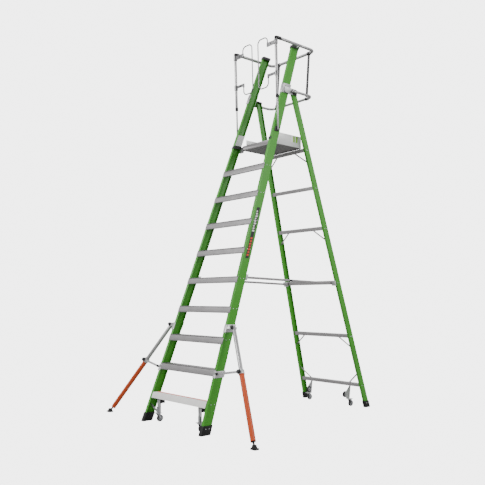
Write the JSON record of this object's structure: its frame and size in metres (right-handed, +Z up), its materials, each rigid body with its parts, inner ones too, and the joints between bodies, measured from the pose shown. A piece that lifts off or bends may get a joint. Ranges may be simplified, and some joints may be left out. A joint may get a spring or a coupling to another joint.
{
  "type": "platform ladder",
  "caption": "Leaning A-frame podium ladder with ribbed treads, a folding platform, a guard-rail cage with gates, folding outriggers and swivel casters.",
  "frame": {"origin": "on the floor, in the middle of the footprint", "axes": "+Z up, climbing side faces -Y, +X to the climber's right"},
  "size_m": [2.538, 2.558, 4.1665],
  "materials": {
    "fibreglass": "pultruded fibreglass, satin gloss",
    "tread_aluminium": "mill extruded",
    "cue_white": "powder coated",
    "rubber": "moulded matt",
    "black_plastic": "moulded",
    "cast_aluminium": "cast, satin",
    "zinc_steel": "zinc plated",
    "tube_aluminium": "drawn tube, satin",
    "rear_bar_aluminium": "mill extruded",
    "deck_aluminium": "ribbed, grey",
    "toe_board_metal": "satin",
    "orange_paint": "powder coated",
    "wheel_plastic": "moulded"
  },
  "bodies": {
    "front_frame": {"front_rail_left": "fibreglass", "front_rail_right": "fibreglass", "treads": "tread_aluminium", "bottom_step": "tread_aluminium", "front_boots": "rubber", "rail_top_caps": "black_plastic", "hinge_castings": "cast_aluminium", "pivot_pins": "zinc_steel", "frame_brackets": "cast_aluminium", "outrigger_collars": "cast_aluminium", "post_foot_brackets": "black_plastic", "front_caster_braces": "cast_aluminium", "front_rivets": "zinc_steel"},
    "rear_frame": {"rear_rail_left": "fibreglass", "rear_rail_right": "fibreglass", "rear_braces": "rear_bar_aluminium", "rear_boots": "rubber", "rear_top_caps": "black_plastic", "rear_brackets": "cast_aluminium", "rear_rivets": "zinc_steel"},
    "cue_step": {"cue_tread": "cue_white"},
    "platform": {"platform_deck": "deck_aluminium", "toe_board_left": "toe_board_metal", "toe_board_right": "toe_board_metal", "toe_board_rear": "toe_board_metal"},
    "top_rail": {"top_guard_rail": "tube_aluminium", "top_rail_fittings": "black_plastic"},
    "mid_rail": {"mid_guard_rail": "tube_aluminium"},
    "spreader_front_left": {"spreader_front_left": "zinc_steel"},
    "spreader_rear_left": {"spreader_rear_left": "zinc_steel"},
    "post_left": {"post_tube_left": "tube_aluminium", "post_fittings_left": "black_plastic"},
    "post_slider_left": {"post_slider_left": "tube_aluminium"},
    "cage_strut_left": {"cage_strut_left": "black_plastic"},
    "gate_left": {"gate_left": "zinc_steel"},
    "outrigger_tube_left": {"outrigger_tube_left": "tube_aluminium"},
    "outrigger_leg_left": {"outrigger_leg_left": "orange_paint"},
    "outrigger_brace_left": {"outrigger_brace_left": "tube_aluminium"},
    "outrigger_foot_left": {"outrigger_foot_left": "rubber"},
    "front_caster_fork_left": {"front_caster_fork_left": "zinc_steel"},
    "front_wheel_left": {"front_wheel_left": "wheel_plastic"},
    "rear_caster_fork_left": {"rear_caster_fork_left": "zinc_steel"},
    "rear_wheel_left": {"rear_wheel_left": "wheel_plastic"},
    "rear_upper_wheel_left": {"rear_upper_wheel_left": "wheel_plastic"},
    "spreader_front_right": {"spreader_front_right": "zinc_steel"},
    "spreader_rear_right": {"spreader_rear_right": "zinc_steel"},
    "post_right": {"post_tube_right": "tube_aluminium", "post_fittings_right": "black_plastic"},
    "post_slider_right": {"post_slider_right": "tube_aluminium"},
    "cage_strut_right": {"cage_strut_right": "black_plastic"},
    "gate_right": {"gate_right": "zinc_steel"},
    "outrigger_tube_right": {"outrigger_tube_right": "tube_aluminium"},
    "outrigger_leg_right": {"outrigger_leg_right": "orange_paint"},
    "outrigger_brace_right": {"outrigger_brace_right": "tube_aluminium"},
    "outrigger_foot_right": {"outrigger_foot_right": "rubber"},
    "front_caster_fork_right": {"front_caster_fork_right": "zinc_steel"},
    "front_wheel_right": {"front_wheel_right": "wheel_plastic"},
    "rear_caster_fork_right": {"rear_caster_fork_right": "zinc_steel"},
    "rear_wheel_right": {"rear_wheel_right": "wheel_plastic"},
    "rear_upper_wheel_right": {"rear_upper_wheel_right": "wheel_plastic"}
  },
  "joints": [
    {"name": "rear_frame_fold", "type": "hinge", "parent": "front_frame", "child": "rear_frame", "pos_m": [0, 0.196, 3.588], "axis": [-1, 0, 0], "range_deg": [0, 31]},
    {"name": "platform_fold", "type": "hinge", "parent": "front_frame", "child": "platform", "pos_m": [0, -0.074, 3.012], "axis": [1, 0, 0], "range_deg": [0, 70]},
    {"name": "cue_tread_give", "type": "slide", "parent": "front_frame", "child": "cue_step", "axis": [0, 0, -1], "range_m": [0, 0.005], "stiffness_N_per_m": 6000, "springref_m": -0.001},
    {"name": "cage_fold", "type": "hinge", "parent": "front_frame", "child": "top_rail", "pos_m": [0, 0.264, 4.12], "axis": [1, 0, 0], "range_deg": [0, 48]},
    {"name": "mid_rail_fold", "type": "hinge", "parent": "front_frame", "child": "mid_rail", "pos_m": [0, 0.151, 3.59], "axis": [1, 0, 0], "range_deg": [0, 35.24]},
    {"name": "spreader_front_left_turn", "type": "hinge", "parent": "front_frame", "child": "spreader_front_left", "pos_m": [-0.376, -0.609, 1.515], "axis": [1, 0, 0], "range_deg": [0, 68.25]},
    {"name": "spreader_rear_left_turn", "type": "hinge", "parent": "rear_frame", "child": "spreader_rear_left", "pos_m": [-0.368, 0.756, 1.475], "axis": [-1, 0, 0], "range_deg": [0, 64.17]},
    {"name": "post_left_fold", "type": "hinge", "parent": "top_rail", "child": "post_left", "pos_m": [-0.336, -0.124, 4.12], "axis": [-1, 0, 0], "range_deg": [0, 57.73]},
    {"name": "post_left_slide", "type": "slide", "parent": "post_left", "child": "post_slider_left", "axis": [0, -0.0357, 0.9994], "range_m": [0, 0.28269]},
    {"name": "cage_strut_left_swing", "type": "hinge", "parent": "top_rail", "child": "cage_strut_left", "pos_m": [-0.245, 0.494, 4.12], "axis": [-1, 0, 0], "range_deg": [0, 47.97]},
    {"name": "gate_left_swing", "type": "hinge", "parent": "post_left", "child": "gate_left", "pos_m": [-0.205, -0.124, 4.12], "axis": [0, 0.0357, -0.9994], "range_deg": [-90, 0], "stiffness_Nm_per_rad": 0.6, "springref_deg": 17.19},
    {"name": "outrigger_left_swing", "type": "hinge", "parent": "front_frame", "child": "outrigger_tube_left", "pos_m": [-0.53, -0.88195, 1.01], "axis": [0, -0.9406, 0.3394], "range_deg": [0, 29.85]},
    {"name": "outrigger_left_slide", "type": "slide", "parent": "outrigger_tube_left", "child": "outrigger_leg_left", "axis": [0.5489, 0.2837, 0.7863], "range_m": [0, 0.33945]},
    {"name": "outrigger_left_brace_turn", "type": "hinge", "parent": "front_frame", "child": "outrigger_brace_left", "pos_m": [-0.506, -1.04431, 0.56], "axis": [0, 0.9406, -0.3394], "range_deg": [0, 74.11]},
    {"name": "outrigger_left_foot_tilt", "type": "hinge", "parent": "outrigger_leg_left", "child": "outrigger_foot_left", "pos_m": [-1.1867, -1.22139, 0.0692], "axis": [0, -0.9406, 0.3394], "range_deg": [-15, 15]},
    {"name": "front_caster_left_swivel", "type": "hinge", "parent": "front_frame", "child": "front_caster_fork_left", "pos_m": [-0.36, -1.17, 0.08], "axis": [0, 0, 1], "continuous": true},
    {"name": "front_wheel_left_spin", "type": "hinge", "parent": "front_caster_fork_left", "child": "front_wheel_left", "pos_m": [-0.36, -1.148, 0.039], "axis": [1, 0, 0], "continuous": true},
    {"name": "rear_caster_left_swivel", "type": "hinge", "parent": "rear_frame", "child": "rear_caster_fork_left", "pos_m": [-0.335, 1.111, 0.08], "axis": [0, 0, 1], "continuous": true},
    {"name": "rear_wheel_left_spin", "type": "hinge", "parent": "rear_caster_fork_left", "child": "rear_wheel_left", "pos_m": [-0.335, 1.133, 0.039], "axis": [1, 0, 0], "continuous": true},
    {"name": "rear_upper_wheel_left_spin", "type": "hinge", "parent": "rear_frame", "child": "rear_upper_wheel_left", "pos_m": [-0.294, 1.076, 0.146], "axis": [1, 0, 0], "continuous": true},
    {"name": "spreader_front_right_turn", "type": "hinge", "parent": "front_frame", "child": "spreader_front_right", "pos_m": [0.376, -0.609, 1.515], "axis": [1, 0, 0], "range_deg": [0, 68.25]},
    {"name": "spreader_rear_right_turn", "type": "hinge", "parent": "rear_frame", "child": "spreader_rear_right", "pos_m": [0.368, 0.756, 1.475], "axis": [-1, 0, 0], "range_deg": [0, 64.17]},
    {"name": "post_right_fold", "type": "hinge", "parent": "top_rail", "child": "post_right", "pos_m": [0.336, -0.124, 4.12], "axis": [-1, 0, 0], "range_deg": [0, 57.73]},
    {"name": "post_right_slide", "type": "slide", "parent": "post_right", "child": "post_slider_right", "axis": [0, -0.0357, 0.9994], "range_m": [0, 0.28269]},
    {"name": "cage_strut_right_swing", "type": "hinge", "parent": "top_rail", "child": "cage_strut_right", "pos_m": [0.245, 0.494, 4.12], "axis": [-1, 0, 0], "range_deg": [0, 47.97]},
    {"name": "gate_right_swing", "type": "hinge", "parent": "post_right", "child": "gate_right", "pos_m": [0.205, -0.124, 4.12], "axis": [0, -0.0357, 0.9994], "range_deg": [-90, 0], "stiffness_Nm_per_rad": 0.6, "springref_deg": 17.19},
    {"name": "outrigger_right_swing", "type": "hinge", "parent": "front_frame", "child": "outrigger_tube_right", "pos_m": [0.53, -0.88195, 1.01], "axis": [0, 0.9406, -0.3394], "range_deg": [0, 29.85]},
    {"name": "outrigger_right_slide", "type": "slide", "parent": "outrigger_tube_right", "child": "outrigger_leg_right", "axis": [-0.5489, 0.2837, 0.7863], "range_m": [0, 0.33945]},
    {"name": "outrigger_right_brace_turn", "type": "hinge", "parent": "front_frame", "child": "outrigger_brace_right", "pos_m": [0.506, -1.04431, 0.56], "axis": [0, -0.9406, 0.3394], "range_deg": [0, 74.11]},
    {"name": "outrigger_right_foot_tilt", "type": "hinge", "parent": "outrigger_leg_right", "child": "outrigger_foot_right", "pos_m": [1.1867, -1.22139, 0.0692], "axis": [0, 0.9406, -0.3394], "range_deg": [-15, 15]},
    {"name": "front_caster_right_swivel", "type": "hinge", "parent": "front_frame", "child": "front_caster_fork_right", "pos_m": [0.36, -1.17, 0.08], "axis": [0, 0, 1], "continuous": true},
    {"name": "front_wheel_right_spin", "type": "hinge", "parent": "front_caster_fork_right", "child": "front_wheel_right", "pos_m": [0.36, -1.148, 0.039], "axis": [1, 0, 0], "continuous": true},
    {"name": "rear_caster_right_swivel", "type": "hinge", "parent": "rear_frame", "child": "rear_caster_fork_right", "pos_m": [0.335, 1.111, 0.08], "axis": [0, 0, 1], "continuous": true},
    {"name": "rear_wheel_right_spin", "type": "hinge", "parent": "rear_caster_fork_right", "child": "rear_wheel_right", "pos_m": [0.335, 1.133, 0.039], "axis": [1, 0, 0], "continuous": true},
    {"name": "rear_upper_wheel_right_spin", "type": "hinge", "parent": "rear_frame", "child": "rear_upper_wheel_right", "pos_m": [0.294, 1.076, 0.146], "axis": [1, 0, 0], "continuous": true}
  ],
  "couplings": [
    {"joint": "platform_fold", "follows": "rear_frame_fold", "ratio": 2.2574},
    {"joint": "mid_rail_fold", "follows": "cage_fold", "ratio": 0.73374},
    {"joint": "spreader_front_left_turn", "follows": "rear_frame_fold", "ratio": 2.2011},
    {"joint": "spreader_rear_left_turn", "follows": "rear_frame_fold", "ratio": 2.0693},
    {"joint": "post_left_fold", "follows": "cage_fold", "ratio": 1.2024},
    {"joint": "post_left_slide", "follows": "cage_fold", "m_per_rad": 0.3372},
    {"joint": "cage_strut_left_swing", "follows": "cage_fold", "ratio": 0.99905},
    {"joint": "outrigger_left_slide", "follows": "outrigger_left_swing", "m_per_rad": 0.65109},
    {"joint": "outrigger_left_brace_turn", "follows": "outrigger_left_swing", "ratio": 2.4818},
    {"joint": "spreader_front_right_turn", "follows": "rear_frame_fold", "ratio": 2.2011},
    {"joint": "spreader_rear_right_turn", "follows": "rear_frame_fold", "ratio": 2.0693},
    {"joint": "post_right_fold", "follows": "cage_fold", "ratio": 1.2024},
    {"joint": "post_right_slide", "follows": "cage_fold", "m_per_rad": 0.3372},
    {"joint": "cage_strut_right_swing", "follows": "cage_fold", "ratio": 0.99905},
    {"joint": "outrigger_right_slide", "follows": "outrigger_right_swing", "m_per_rad": 0.65109},
    {"joint": "outrigger_right_brace_turn", "follows": "outrigger_right_swing", "ratio": 2.4818}
  ]
}
